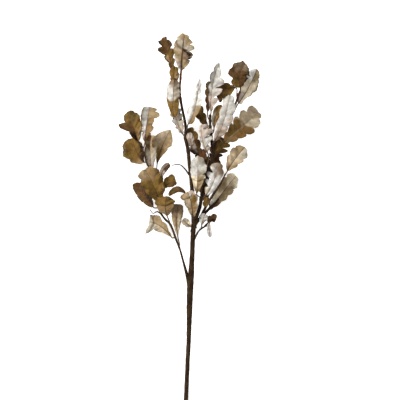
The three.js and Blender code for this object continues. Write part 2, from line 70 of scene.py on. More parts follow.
# Shape that only the skins have: how square lobes are, how deep petioles start in the bark, and
# how wide a fold's step is, at least and by its height, with its groove and how it eases off
LOBE_ROUNDNESS = 0.6
SEAT_DEPTH = 0.7
FOLD_STEP = 3
FOLD_STEEPNESS = 0.8
FOLD_GROOVE = 0.4
FOLD_EASE = 0.7

# How thin midribs get at the tip and blades at the margin, how far along midribs are round on both
# faces, and how far past its midrib a half blade lies flat. How far half blades bow, and how much
# less margins curl towards the viewer than away
RIB_TAPER = 0.3
MARGIN_TAPER = 0.6
ROD_FADE = 0.08
BLADE_START = 2
BOW = (-0.1, 0.16)
CURL_UP = 0.8

# How steeply each bend grows towards the margin, and how far side veins slant
CURL_GROWTH = 2.4
WAVE_GROWTH = 2
TILT_GROWTH = 1.6
LEAN_GROWTH = 1.2
CRUMPLE_GROWTH = 0.7
VEIN_SLANT = 0.55

# Noise: how far it is moved from piece to piece, and the length of its waves. Ragged margins
# have a share of the reach with each length, and wrinkles a share of the crumpling
NOISE_SHIFT = 50
RAGGED = ((5, 0.07), (1.8, 0.03))
SIDES_APART = 9
CRUMPLE_WAVE = 22
WRINKLE_WAVE = 8
WRINKLE_SHARE = 0.45

# Tones of leaves: the length and reach of their wandering, how far midribs keep the colour of
# their petiole, how strong that is and how far across it goes
TONE_WAVE = 14
TONE_WANDER = 0.5
EDGE_WANDER = 0.5
RIB_FADE = 0.25
STALK_TINT = 0.9
STALK_EDGE = (0.8, 1.05)

# Swellings of the bark in radii: at leaf feet, at forks, and the buds as steps along and widths
KNOT_SWELL = 0.22
KNOT_REACH = 3.2
MOST_KNOT = 1.2
COLLAR_SWELL = 0.35
COLLAR_REACH = 7
BUD = ((0.3, 1.15), (0.66, 1.2), (1.1, 0.95), (1.44, 0.5), (1.62, 0.2))

# Lumps and lengthwise furrows of the bark: the length of their waves and their share of the radius
LUMP_WAVE = 9
LUMP_SHARE = 0.08
FURROW_WIDTH = 1.6
FURROW_LENGTH = 11
FURROW_SHARE = 0.06

# How far the cut end reaches up, and how squarely its face looks down the stem
CUT_DEPTH = 2
CUT_FACING = 0.8

# Where reddish young bark begins along the stem, and how far below that its tint fades out
YOUNG_BARK = 740
YOUNG_BARK_FADE = 45

# How finely the skins are drawn
CURVE_SAMPLES = 200
HALF_COLUMNS = 10
RIB_COLUMNS = (0, 0.5, 0.87, 1)
ROW_LENGTH = 1.1
ROWS_PER_LOBE = 16
PETIOLE_ROWS = 8
BARK_STEP = 3
BARK_SIDES = 20
MERGE = 0.002
LEAF_CREASE = math.radians(50)
BARK_CREASE = math.radians(60)

# Stage in metres: the floor's side, the lamp's place and side, how far the camera sees. The
# view's centre is in plan millimetres
FLOOR_SIZE = 12
PAPER_GLOW = 0.5
LAMP_PLACE = Vector((-2.9, 2.1, 2.9))
LAMP_SIZE = 1.6
VIEW_DEPTH = 30
VIEW_CENTRE = Vector((28.8, 480, 50))
SENSOR_WIDTH = 36

# Material names
WAXY = "dried_oak_leaf_upper_face"
DOWNY = "dried_oak_leaf_downy_face"
BARK = "young_oak_bark"
WOOD = "cut_oak_wood"

# The woody limbs, each a list of centre points with their radius: x, y, z, radius
LIMBS = {
    "trunk": ((-6.3, -24, 5.5, 5.5), (-1.3, 84, 17, 5.4), (1.6, 144, 24, 5.5), (3.4, 215, 32.5, 7.2),
        (5, 262, 38, 7.9), (7.4, 302, 42.5, 7.3), (10.6, 360, 49.5, 5.7), (12.6, 408, 55, 5.7),
        (16.5, 434, 58, 5.4), (19, 446, 59, 4.3)),
    "leader": ((14.5, 412, 55.5, 5.4), (12, 468, 61, 5), (10, 504, 63, 4.6), (3.6, 564, 64, 4.2),
        (0, 600, 63, 4.1), (-5.5, 626, 62, 4.1), (-4.8, 648, 61, 3.6), (-7.2, 667, 60, 3.3),
        (-15.6, 708, 58, 3.2), (-20.4, 744, 57, 3.3), (-18, 768, 57, 2.6), (-17.4, 780, 58, 2.3)),
    "right_leader": ((16, 428, 57, 4.6), (27.6, 461, 60, 4.3), (33.6, 490, 62, 4.1), (48, 538, 67, 3.8),
        (60, 588, 71, 3.7), (56, 624, 73, 3.4), (53, 660, 75, 3), (53, 680, 76, 2.7)),
    "upper_right": ((59, 584, 71, 3.5), (67, 617, 67, 3.2), (86, 653, 62, 3.1), (104, 684, 59, 3.2),
        (115, 713, 58, 2.6), (124, 738, 59, 2.2)),
    "lower_right": ((15, 420, 56, 4.1), (41, 449, 50, 3.5), (65, 473, 45, 2.6), (72, 480, 43, 2.2)),
    "side_right": ((30, 438, 54, 3.1), (42, 462, 67, 3.1), (58, 490, 84, 2.9), (77, 518, 89, 2.4),
        (88, 540, 86, 1.7)),
    "left": ((5, 262, 38, 5.5), (-1.5, 295, 43, 4.2), (-11, 331, 48, 2.8), (-19, 360, 51, 2.4),
        (-28, 384, 53, 2.8), (-43, 422, 53, 2.6), (-55, 434, 52, 2.5), (-65, 449, 51, 2.6),
        (-67, 473, 50, 2.8), (-63, 497, 49, 2.8), (-66, 520, 47, 2.5), (-79, 545, 44, 2.4),
        (-97, 564, 42, 2.2), (-107, 595, 40, 2.1), (-114, 608, 39, 1.9)),
    "bare_twig": ((3, 540, 64, 1.9), (-7, 554, 66, 1.6), (-17, 563, 68, 1.3), (-24, 565, 69, 1.2),
        (-37, 563, 69, 1)),
    "low_twig": ((13, 382, 52, 2.6), (26, 406, 57, 1.8), (36, 414, 60, 1.6), (44, 418, 62, 1.4)),
    "hook": ((-63, 446, 51, 1.9), (-74, 452, 55, 1.6), (-84, 448, 58, 1.3), (-90, 456, 60, 1.2)),
}


@dataclass
class Leaf:
    """A leaf in plan millimetres. Pairs are its left and right half, 0 and 1, seen with the tip
    away from the viewer. Places along reach from 0 at the base to 1 at the tip, and places across
    from 0 at the midrib to 1 at the margin.
    """
    limb: str  # The limb it grows on, and where
    foot: tuple
    base: tuple  # Three points of the midrib
    mid: tuple
    tip: tuple
    half: tuple  # Widest reach from the midrib
    raised: tuple  # Degrees by which halves are raised: left at base and tip, then right
    face: str  # The face that shows
    tones: tuple  # Colours of that face, from base to tip, whose dark tones partly paint shade
    lobes: int = 3
    depth: tuple = (0.15, 0.15)  # How deep the lobes are cut
    swell: tuple = ((), ())  # Lengths of single lobes, from base to tip, where they aren't 1
    peak: float = 1  # Above 1 moves the widest place towards the tip
    blunt: float = 3  # Above 3 squares the tip
    pointed: float = 0.5  # Above 0.5 draws both ends to a point
    lean: float = 0.3  # Moves the margins towards the tip, or below 0 towards the base
    blend: float = 0.5  # How softly the tones meet
    stout: float = 1  # Thickens petiole and midrib
    rib: str = ""  # Tone of the midrib
    edges: tuple = ()  # Tinted margins, whose darker tones partly paint shade: half, tone, start across
    folds: tuple = ()  # Place along, slant across, height
    slits: tuple = ()  # Half, place along, depth, width
    crumpled: float = 1  # How strongly the blade is crumpled
    ragged: float = 1  # How strongly its margin is torn
    calm: float = 1  # Below 1 keeps every bend small, where a leaf lies close to others


# Every leaf by the name of its node
LEAVES = {
    "left_leaf_01": Leaf("left", (-114, 608), (-120, 621, 36), (-131, 654, 40), (-147, 692, 34), (24, 26),
        (-5, -15, 25, 10), "brown", ("dark brown golden", "tan golden olive"), depth=(0.4, 0.15),
        swell=((0.5, 2, 0.3), (1, 1, 0.9, 0.6)), blunt=1.6, pointed=0.6, lean=0.5, blend=0.35,
        edges=((0, "brown", 0.6),)),
    # The grey and brown on left_leaf_02's left margin are painted shade on its rolled left half
    "left_leaf_02": Leaf("left", (-108, 598), (-103, 620, 58), (-99, 658, 66), (-91, 702, 70), (21, 27),
        (40, 30, 10, 5), "tan", ("pink white chalk", "rust tan tan fawn"), lobes=5, depth=(0.04, 0.42),
        swell=((), (1, 0.9, 0.8, 0.2, 1.1, 1.1)), peak=1.15, blunt=8, lean=0.15, rib="rust",
        edges=((0, "grey", 0.25), (0, "brown", 0.75)), slits=((0, 0.26, 0.4, 0.02), (0, 0.4, 0.35, 0.02))),
    # Left_leaf_03's dark right half and dark right margin are painted shade where that half folds down
    "left_leaf_03": Leaf("left", (-99, 568), (-106, 571, 34), (-121, 588, 20), (-136, 630, 10), (32, 21),
        (5, 10, 25, 15), "brown", ("tan golden golden", "dark brown golden"), swell=((1.2, 1.4, 0.5), ()),
        blend=0.4, edges=((0, "fawn", 0.75), (1, "dark", 0.5))),
    "left_leaf_04": Leaf("left", (-66, 521), (-75, 538, 62), (-68, 590, 66), (-42, 648, 72), (27, 22),
        (40, 5, 45, -5), "tan", ("golden golden fawn sand", "golden golden tan fawn"), lobes=2,
        depth=(0.1, 0.3), swell=((), (0.2, 0.9)), peak=3.4, blunt=1.5, pointed=0.8, lean=-0.6,
        edges=((0, "tan", 0.6),), crumpled=1.6),
    "left_leaf_05": Leaf("left", (-79, 545), (-87, 556, 56), (-90, 592, 76), (-87, 634, 72), (16, 20),
        (30, 35, 40, 25), "pale", ("greige greige brown", "pink greige fawn"), edges=((0, "brown", 0.5),),
        calm=0.4),
    "left_leaf_06": Leaf("left", (-67, 470), (-68, 478, 58), (-81, 512, 74), (-102, 553, 70), (26, 31),
        (5, 15, 20, 15), "brown", ("golden golden golden fawn", "golden golden golden tan"), lobes=4,
        depth=(0.2, 0.2), swell=((1, 1, 0.8, 1.4), (1, 1.2, 1, 0.8)), blend=0.3),
    "left_leaf_07": Leaf("left", (-66, 455), (-84, 463, 42), (-106, 490, 20), (-128, 522, -14), (16, 20),
        (10, 5, 15, 0), "brown", ("brown brown", "dark brown")),
    "left_leaf_08": Leaf("left", (-64, 510), (-58, 512, 56), (-45, 519, 62), (-29, 526, 60), (20, 12),
        (10, 5, 30, 20), "brown", ("golden golden", "golden brown"), lobes=2),
    "left_leaf_09": Leaf("left", (-66, 520), (-63, 530, 58), (-60, 550, 68), (-44, 566, 68), (10, 10),
        (50, 40, 30, 20), "tan", ("cream pink", "pink brown"), lobes=2, edges=((1, "dark", 0.3),), calm=0.4),
    "left_leaf_10": Leaf("left", (-46, 425), (-50, 442, 66), (-54, 465, 84), (-50, 489, 78), (26, 24),
        (-10, -20, -10, -20), "tan", ("fawn tan golden golden", "tan tan golden olive"), depth=(0.1, 0.1),
        peak=0.9, blend=0.12, folds=((0.5, 0.1, 3),), calm=0.6),
    "left_leaf_11": Leaf("left", (-25, 378), (-39, 390, 46), (-64, 415, 34), (-94, 428, 22), (20, 20),
        (15, -5, 20, -5), "tan", ("sand sand greige", "tan fawn fawn greige"), depth=(0.25, 0.25),
        swell=((0.5, 0.7, 3.4), (1, 1, 1.2, 1.4)), peak=1.6, blend=0.3, folds=((0.8, 0.1, 4),)),
    "left_leaf_12": Leaf("left", (-25, 377), (-24, 390, 60), (-26, 428, 68), (-24, 470, 64), (16, 16),
        (25, 15, 35, 20), "tan", ("sand fawn taupe", "cream sand taupe"), depth=(0.12, 0.12), peak=1.8,
        blend=0.3, edges=((1, "brown", 0.8),)),
    "stem_leaf_01": Leaf("trunk", (15, 416), (6, 417, 64), (-2, 424, 67), (-12, 434, 68), (9, 9),
        (15, 10, 15, 10), "tan", ("greige greige", "cream sand"), lobes=2, depth=(0.1, 0.1)),
    "stem_leaf_02": Leaf("leader", (10, 499), (-4, 493, 66), (-23, 502, 72), (-44, 489, 68), (4, 12),
        (10, 30, -10, -20), "brown", ("taupe rust", "rust olive"), lobes=2),
    "top_leaf_01": Leaf("leader", (-20, 748), (-33, 775, 48), (-44, 820, 44), (-61, 872, 34), (18, 17),
        (5, 15, 10, 25), "brown", ("dark brown tan brown brown", "dark brown golden brown brown"), lobes=5,
        depth=(0.6, 0.5), swell=((0.4, 0.4, 0.7, 1.4, 0.9), (0.8, 0.8, 0.9, 1.2, 1.1)), peak=1.5, blend=0.3,
        edges=((0, "dark", 0.6),), crumpled=2, ragged=2),
    # In top_leaf_02 the taupe and dark tones just below the fold are a painted shadow under its folded cap
    "top_leaf_02": Leaf("leader", (-17.4, 780), (-16, 791, 60), (-13, 834, 78), (-8, 876, 64), (23, 27),
        (25, 5, 20, -15), "tan",
        ("pink fawn fawn sand taupe greige fawn fawn", "tan fawn fawn taupe dark greige fawn fawn"), lobes=5,
        depth=(0.12, 0.4), swell=((), (0.8, 1.2, 1.2, 1.2, 0.8, 0.6)), peak=0.95, lean=0.05, blend=0.25,
        stout=1.9, rib="petiole", folds=((0.65, -0.24, 8),)),
    "top_leaf_03": Leaf("leader", (-20, 732), (-27, 750, 60), (-33, 772, 64), (-31, 799, 66), (12, 13),
        (20, 10, 20, 10), "brown", ("dark golden golden", "dark tan golden"), lobes=2, depth=(0.3, 0.3),
        blend=0.3, crumpled=1.5),
    "top_leaf_04": Leaf("leader", (-20, 740), (-32, 766, 80), (-35, 726, 84), (-31, 676, 76), (16, 17),
        (-10, 0, -10, -10), "pale", ("taupe grey greige golden golden", "taupe chalk chalk golden golden"),
        peak=0.7, lean=-0.5, blend=0.2),
    "top_leaf_05": Leaf("leader", (-5.5, 628), (-13, 638, 66), (-25, 667, 66), (-36, 706, 58), (13, 18),
        (15, 10, 20, 0), "pale", ("pink chalk pink", "pink greige pink"), lobes=5, depth=(0.5, 0.5),
        slits=((0, 0.35, 0.5, 0.03), (0, 0.62, 0.5, 0.03), (1, 0.5, 0.6, 0.03)), calm=0.6),
    "top_leaf_08": Leaf("leader", (-5.5, 628), (-14, 642, 52), (-25, 668, 48), (-33, 699, 42), (10, 14),
        (10, 5, 10, 5), "brown", ("dark brown", "dark dark")),
    "top_leaf_06": Leaf("leader", (-5, 640), (1, 662, 68), (18, 704, 74), (28, 768, 76), (17, 13),
        (20, 40, 15, 35), "pale", ("white white white", "tan fawn white white"), lobes=2, depth=(0.45, 0.45),
        swell=((1.3, 0.3), (1.2, 1.2, 0.8)), peak=0.6, blend=0.3),
    "top_leaf_07": Leaf("leader", (0, 596), (9, 606, 68), (7, 622, 72), (2, 640, 74), (9, 9),
        (15, 10, 15, 10), "pale", ("pink pink", "fawn pink"), lobes=2, depth=(0.2, 0.2)),
    # In the dense middle, the dark tones, most of them at leaf bases, are painted shade where leaves lie in
    # each other's shadow
    "middle_leaf_01": Leaf("right_leader", (54, 645), (46, 654, 64), (30, 682, 56), (16, 709, 54), (13, 15),
        (10, 5, 10, 5), "brown", ("brown brown golden", "dark golden golden"), depth=(0.35, 0.35)),
    "middle_leaf_02": Leaf("right_leader", (45, 528), (36, 572, 58), (20, 610, 50), (5, 654, 48), (23, 14),
        (5, 10, 20, 10), "brown", ("dark dark pink fawn olive", "dark brown brown golden"), lobes=4,
        depth=(0.42, 0.42), blend=0.25, edges=((0, "dark", 0.8),), calm=0.6),
    "middle_leaf_03": Leaf("right_leader", (50, 548), (46, 594, 84), (34, 624, 92), (32, 659, 90), (6, 30),
        (20, 20, 10, 5), "pale", ("greige pink pink", "pink chalk pink pink"), depth=(0.6, 0.65)),
    "middle_leaf_04": Leaf("right_leader", (33, 487), (21, 496, 76), (23, 538, 86), (24, 586, 74), (18, 21),
        (15, 5, 15, 0), "pale", ("tan cream chalk chalk chalk", "tan fawn greige chalk greige"),
        depth=(0.1, 0.1), swell=((0.3, 1.1), (0.3, 0.5, 1.1)), pointed=0.65, blend=0.3,
        folds=((0.34, 0, 3),), slits=((1, 0.5, 0.45, 0.015),)),
    "middle_leaf_05": Leaf("right_leader", (32, 482), (43, 492, 69), (60, 522, 75), (74, 568, 74), (22, 18),
        (5, 5, 0, 0), "pale", ("cream white white grey", "chalk white chalk taupe"), lobes=4,
        depth=(0.5, 0.3), slits=((0, 0.3, 0.6, 0.03), (0, 0.52, 0.55, 0.03), (0, 0.72, 0.45, 0.03)),
        calm=0.3),
    "middle_leaf_06": Leaf("trunk", (17, 430), (12, 440, 74), (9, 468, 88), (0, 499, 90), (18, 20),
        (20, 10, 35, 15), "tan", ("taupe fawn sand fawn", "tan tan golden pink"), depth=(0.25, 0.25),
        swell=((1, 0.8, 2), ()), peak=1.2, blend=0.15, edges=((0, "brown", 0.7), (1, "pink", 0.7)),
        folds=((0.78, 0.1, 4),)),
    "middle_leaf_07": Leaf("right_leader", (55, 565), (57, 577, 58), (67, 600, 54), (82, 630, 52), (20, 28),
        (10, 5, 5, 0), "brown", ("dark rust brown", "dark brown golden golden"), lobes=4, depth=(0.55, 0.55),
        blend=0.4, calm=0.15),
    "middle_leaf_08": Leaf("side_right", (38, 455), (40, 464, 76), (43, 473, 82), (49, 485, 82), (9, 9),
        (15, 10, 15, 10), "brown", ("golden golden", "golden brown"), lobes=2, depth=(0.2, 0.2), calm=0.1),
    "middle_leaf_09": Leaf("right_leader", (44, 524), (43, 536, 50), (44, 556, 42), (42, 584, 40), (18, 18),
        (5, 5, 5, 5), "brown", ("dark brown", "dark brown"), depth=(0.35, 0.35), calm=0.2),
    "middle_leaf_10": Leaf("lower_right", (50, 458), (45, 476, 43), (43, 504, 38), (47, 530, 36), (20, 14),
        (5, 5, 0, 0), "brown", ("dark brown", "dark dark"), depth=(0.2, 0.3)),
    "middle_leaf_11": Leaf("right_leader", (41, 514), (34, 534, 62), (35, 568, 67), (40, 602, 67), (12, 9),
        (0, 0, 0, 0), "brown", ("dark brown rust", "dark brown"), depth=(0.35, 0.35), calm=0.3),
    "middle_leaf_12": Leaf("right_leader", (44, 524), (55, 533, 60), (63, 556, 50), (67, 586, 44), (14, 14),
        (5, 5, 5, 5), "brown", ("dark brown", "brown rust"), depth=(0.35, 0.35), calm=0.2),
    "right_leaf_01": Leaf("right_leader", (53, 676), (55, 690, 84), (57, 745, 90), (74, 808, 84), (12, 26),
        (40, 30, 15, 20), "pale", ("pink chalk chalk", "pink chalk chalk"), lobes=5, depth=(0.5, 0.5),
        swell=((0.8, 0.8, 1, 1.2, 0.8), (1, 1.2, 1.2, 1.1, 0.3, 0)), peak=0.85, pointed=0.75,
        edges=((0, "dark", 0.7),), slits=((1, 0.3, 0.45, 0.02), (1, 0.5, 0.45, 0.02))),
    "right_leaf_02": Leaf("right_leader", (53, 668), (47, 690, 70), (50, 726, 66), (50, 764, 64), (10, 10),
        (10, 5, 10, 5), "brown", ("rust brown olive", "brown brown olive"), lobes=4, depth=(0.4, 0.4)),
    "right_leaf_03": Leaf("right_leader", (55, 635), (62, 650, 84), (66, 678, 90), (80, 706, 88), (11, 11),
        (25, 20, 25, 20), "brown", ("greige greige golden", "honey honey golden"), lobes=2, pointed=0.7),
    "right_leaf_04": Leaf("right_leader", (59, 603), (63, 620, 88), (85, 668, 100), (99, 728, 98), (16, 21),
        (15, 10, 10, 5), "pale", ("pink chalk chalk", "taupe pink chalk chalk"), lobes=4, depth=(0.3, 0.3)),
    "right_leaf_05": Leaf("upper_right", (121, 730), (112, 748, 68), (90, 745, 70), (65, 736, 72), (30, 18),
        (20, 10, 10, 10), "brown", ("golden golden brown", "golden brown brown"), depth=(0.35, 0.35),
        swell=((1, 1.6, 1.3), ()), ragged=2),
    "right_leaf_06": Leaf("upper_right", (124, 738), (125, 749, 62), (124, 780, 70), (138, 806, 62),
        (28, 24), (10, 0, 15, 0), "brown", ("golden brown taupe", "brown brown taupe"), depth=(0.25, 0.25),
        swell=((1, 1.1, 0.7), ()), lean=-0.1, blend=0.3, edges=((0, "rust", 0.7), (1, "dark", 0.5)),
        folds=((0.82, 0, 4),), slits=((0, 0.36, 0.2, 0.05), (0, 0.92, 0.4, 0.1), (1, 0.55, 0.2, 0.05)),
        crumpled=2, ragged=3),
    "right_leaf_07": Leaf("upper_right", (106, 690), (121, 712, 50), (144, 748, 44), (166, 796, 37),
        (24, 24), (25, 30, -25, -30), "tan", ("pink cream white", "cream cream fawn"), depth=(0.3, 0.3),
        lean=0, rib="rust", edges=((1, "golden", 0.75),), slits=((1, 0.25, 0.45, 0.18),), crumpled=1.5,
        ragged=2),
    "right_leaf_08": Leaf("upper_right", (67, 617), (86, 618, 58), (125, 652, 32), (171, 694, -14), (30, 27),
        (10, 5, 0, -5), "brown", ("honey golden golden sand sand", "tan honey honey cream sand"), lobes=5,
        depth=(0.38, 0.38), swell=((1, 1, 1, 1.1, 1.2), (1, 0.9, 1, 1.3, 1.1)), blend=0.2, rib="fawn",
        folds=((0.7, 0.1, 4),), calm=0.7),
    "right_leaf_09": Leaf("side_right", (88, 540), (94, 549, 84), (110, 575, 80), (136, 606, 70), (22, 21),
        (10, 10, 15, 10), "tan", ("fawn sand fawn", "fawn sand greige"), lobes=4, depth=(0.25, 0.25),
        pointed=0.65),
    "right_leaf_10": Leaf("lower_right", (41, 449), (50, 456, 40), (82, 496, 34), (115, 538, 22), (22, 20),
        (15, 10, 10, 0), "tan", ("white cream fawn cream", "brown fawn fawn cream"), lobes=5,
        depth=(0.28, 0.28), peak=1.2, blend=0.3),
    "cluster_leaf_01": Leaf("low_twig", (27, 407), (33, 421, 68), (35, 432, 72), (42, 446, 74), (11, 11),
        (20, 10, 20, 10), "pale", ("chalk chalk", "grey chalk"), lobes=2, depth=(0.3, 0.3), crumpled=1.5),
    "cluster_leaf_02": Leaf("low_twig", (36, 414), (52, 426, 70), (50, 411, 73), (54, 392, 66), (6, 6),
        (20, 20, 20, 20), "pale", ("chalk chalk", "chalk chalk"), lobes=2, depth=(0.05, 0.05)),
    "cluster_leaf_03": Leaf("low_twig", (36, 414), (48, 425, 55), (56, 434, 55), (67, 433, 56), (13, 10),
        (20, 10, 10, 10), "brown", ("taupe brown", "brown dark"), lobes=2, depth=(0.4, 0.3), crumpled=1.5),
}


def linear(code):
    """An sRGB hex colour as linear red, green, blue and alpha."""
    parts = [int(code[i:i + 2], 16) / 255 for i in (1, 3, 5)]
    return (*((p / 12.92 if p <= 0.04045 else ((p + 0.055) / 1.055) ** 2.4) for p in parts), 1)


def lerp(a, b, share):
    return a + (b - a) * share


def blend(first, second, share):
    """A colour between two others."""
    return [lerp(a, b, share) for a, b in zip(first, second)]


def smooth(low, high, value):
    share = min(max((value - low) / (high - low), 0), 1)
    return share * share * (3 - 2 * share)


def curve_place(points, share):
    """The place and direction on the smooth curve through points, from 0 at its start to 1."""
    place = share * (len(points) - 1)
    index = min(int(place), len(points) - 2)
    part = place - index
    start, end = points[index], points[index + 1]
    before = points[index - 1] if index else 2 * start - end
    after = points[index + 2] if index + 2 < len(points) else 2 * end - start
    a, b, c = (math.sqrt((q - p).length) for p, q in ((before, start), (start, end), (end, after)))
    leave = ((start - before) / a - (end - before) / (a + b) + (end - start) / b) * b
    arrive = ((end - start) / b - (after - start) / (b + c) + (after - end) / c) * b
    square = 3 * (end - start) - 2 * leave - arrive
    cube = 2 * (start - end) + leave + arrive
    centre = start + leave * part + square * part ** 2 + cube * part ** 3
    return centre, (leave + 2 * square * part + 3 * cube * part ** 2).normalized()


def sample_limb(limb, step):
    """Evenly placed samples of a limb: its centre, direction and radius."""
    points = [Vector(p[:3]) for p in limb]
    fine = [curve_place(points, i / CURVE_SAMPLES)[0] for i in range(CURVE_SAMPLES + 1)]
    length = sum((b - a).length for a, b in zip(fine, fine[1:]))
    steps = max(LEAST_SEATS, round(length / step))
    samples = []
    for i in range(steps + 1):
        place = i / steps * (len(limb) - 1)
        index = min(int(place), len(limb) - 2)
        radius = lerp(limb[index][3], limb[index + 1][3], place - index)
        samples.append((*curve_place(points, i / steps), radius))
    return samples


SEATS = {name: sample_limb(limb, SEAT_STEP) for name, limb in LIMBS.items()}


def petiole_seat(leaf, base):
    """Where a petiole starts, inside the bark of its limb, and the direction in which it leaves."""
    seats = SEATS[leaf.limb]
    foot = Vector(leaf.foot)
    centre, along, radius = min(seats, key=lambda seat: (seat[0].xy - foot).length)
    leaving = (base - centre).normalized()
    if centre != seats[-1][0]:
        forward = math.copysign(1, leaving.dot(along))
        leaving = (leaving - leaving.dot(along) * along).normalized() * math.sin(LEAVING_ANGLE)
        leaving += along * forward * math.cos(LEAVING_ANGLE)
    return centre + leaving * radius * SEAT_DEPTH, leaving


def outline(t, leaf):
    """The share of the widest reach at a place along the blade, without its lobes."""
    u = t ** leaf.peak
    blunt = leaf.blunt
    widest = (1 / (blunt + 1)) ** (1 / blunt) * (blunt / (blunt + 1))
    return (u * (1 - u ** blunt) / widest) ** leaf.pointed


def half_width(t, leaf, side):
    """The reach of a half blade: narrow at the base, widest past the middle, cut into lobes."""
    place = leaf.lobes * t + side / 2
    lobe = int(place)
    swells = leaf.swell[side]
    swell = swells[lobe] if lobe < len(swells) else 1
    bump = swell * math.sin(math.pi * (place - lobe)) ** LOBE_ROUNDNESS
    depth = leaf.depth[side]
    reach = leaf.half[side] * outline(t, leaf) * (1 - depth + depth * bump)
    for half, at, deep, wide in leaf.slits:
        if half == side:
            reach *= 1 - deep * math.exp(-((t - at) / wide) ** 2)
    return reach


def rest_height(z):
    """Heights near the surface are eased up, so a low blade lies along the surface."""
    return BLADE_REST + FLOOR_SOFTNESS * math.log(1 + math.exp((z - BLADE_REST) / FLOOR_SOFTNESS))


def bezier(points, share):
    """The place and direction on a Bezier curve with any count of points."""
    while len(points) > 2:
        points = [p.lerp(q, share) for p, q in zip(points, points[1:])]
    return points[0].lerp(points[1], share), (points[1] - points[0]).normalized()


def midrib_rows(leaf):
    """The frames along petiole and midrib: centre, direction, side, normal, place along."""
    base, mid, tip = (Vector(point) for point in (leaf.base, leaf.mid, leaf.tip))
    bend = 2 * mid - (base + tip) / 2
    start, leaving = petiole_seat(leaf, base)
    reach = PETIOLE_REACH * (base - start).length
    lead = base - (bend - base).normalized() * reach
    petiole = [start, start + leaving * reach, lead, base]
    across = Vector((tip.y - base.y, base.x - tip.x, 0)).normalized()
    steps = max(leaf.lobes * ROWS_PER_LOBE, round((tip - base).length / ROW_LENGTH))
    places = [(petiole, i / PETIOLE_ROWS, 0) for i in range(PETIOLE_ROWS)]
    places += [([base, bend, tip], i / steps, i / steps) for i in range(steps + 1)]
    rows = []
    for curve, share, t in places:
        centre, along = bezier(curve, share)
        side = (across - across.dot(along) * along).normalized()
        rows.append((centre, along, side, side.cross(along), t, curve is petiole))
    return rows


def column_reach(k, reach, rib, spread):
    """How far column k lies from the midrib: a round rod first, then a flat half blade."""
    rod = rib * math.sin(math.pi / 2 * k / HALF_COLUMNS)
    if k < len(RIB_COLUMNS):
        flat = rib * RIB_COLUMNS[k]
    else:
        past = (k - len(RIB_COLUMNS) + 1) / (HALF_COLUMNS - len(RIB_COLUMNS) + 1)
        flat = lerp(rib, reach, past)
    return lerp(rod, flat, spread)


def fold_lift(t, reach, leaf, length):
    """How far folds lift a place: a groove, then a sharp step that eases off towards the tip."""
    lift = 0
    for at, slant, height in leaf.folds:
        past = t - at - slant * reach
        step = max(FOLD_STEP, FOLD_STEEPNESS * height) / length
        lift -= height * FOLD_GROOVE * math.exp(-(past / step) ** 2)
        if 0 < past < 1 - at:
            lift += height * smooth(0, step, past) * (1 - past / (1 - at)) ** FOLD_EASE
    return lift


def noise_shift(draw):
    """How far one piece's noise is moved, so that no two pieces look alike."""
    return Vector([draw.uniform(-NOISE_SHIFT, NOISE_SHIFT) for _ in range(3)])


def leaf_surface(name, leaf, sizes):
    """The middle surface of a leaf as rows of points, and what each point needs for its finish."""
    draw = random.Random(name)
    bows = [draw.uniform(*BOW) for _ in range(2)]
    curls = [leaf.calm * draw.uniform(-sizes.curl, sizes.curl * CURL_UP) for _ in range(2)]
    phases = [draw.uniform(0, 1) for _ in range(2)]
    tilts = [[draw.uniform(-1, 1) for _ in range(leaf.lobes + 1)] for _ in range(2)]
    shift = noise_shift(draw)
    crumple = sizes.crumple / MM * leaf.crumpled * leaf.calm
    veins = 2 if leaf.lobes < 4 else 1
    length = (Vector(leaf.tip[:2]) - Vector(leaf.base[:2])).length
    lobe_length = length / leaf.lobes
    rows = []
    for centre, along, side_way, normal, t, rod in midrib_rows(leaf):
        rib = sizes.petiole_radius / MM * leaf.stout * lerp(1, RIB_TAPER, t)
        points = []
        for column in range(-HALF_COLUMNS, HALF_COLUMNS + 1):
            side = int(column > 0)
            sign = 1 if column > 0 else -1
            torn = sum(size * noise.noise(Vector((t * length / wave, side * SIDES_APART, move)))
                for (wave, size), move in zip(RAGGED, shift))
            full = 0 if rod else half_width(t, leaf, side) * (1 + torn * leaf.ragged)
            full = max(rib, full)
            envelope = leaf.half[side] * (0 if rod else outline(t, leaf))
            spread = smooth(0, BLADE_START, full - rib)
            w = column_reach(abs(column), full, rib, spread)
            share = (w - rib) / (full - rib) if full > rib * 1.01 and w > rib else 0
            angle = math.radians(lerp(*leaf.raised[2 * side:2 * side + 2], t)) * spread
            place = leaf.lobes * t + side / 2
            lobe = int(place)
            vein = veins * (place + VEIN_SLANT * envelope / lobe_length * (1 - share))
            lift = w * math.sin(angle)
            lift += bows[side] * envelope * 4 * share * (1 - share)
            lift += curls[side] * envelope * share ** CURL_GROWTH
            wave = leaf.calm * sizes.wave * math.sin(2 * math.pi * (place + phases[side]))
            lift += wave * envelope * share ** WAVE_GROWTH
            bent = leaf.calm * sizes.lobe_tilt * tilts[side][lobe] * math.sin(math.pi * (place - lobe))
            lift += bent * share ** TILT_GROWTH * (full - rib)
            lift += sizes.pucker / MM * math.sin(math.pi * share) * math.cos(2 * math.pi * vein)
            point = centre + side_way * sign * w * math.cos(angle) + normal * lift
            point += along * leaf.lean * max(full - rib, 0) * share ** LEAN_GROWTH
            if not rod:
                reach = sign * share * envelope / leaf.half[side]
                point += normal * fold_lift(t, reach, leaf, length)
                rough = noise.noise((point + shift) / CRUMPLE_WAVE)
                point += normal * share ** CRUMPLE_GROWTH * rough * crumple
                rough = noise.noise((point + shift) / WRINKLE_WAVE)
                point += normal * share * rough * crumple * WRINKLE_SHARE
            point.z = rest_height(point.z)
            points.append(dict(point=point, w=w, rib=rib, share=share, side=side, sign=sign, t=t,
                rod=rod, vein=vein))
        rows.append(points)
    return rows, shift


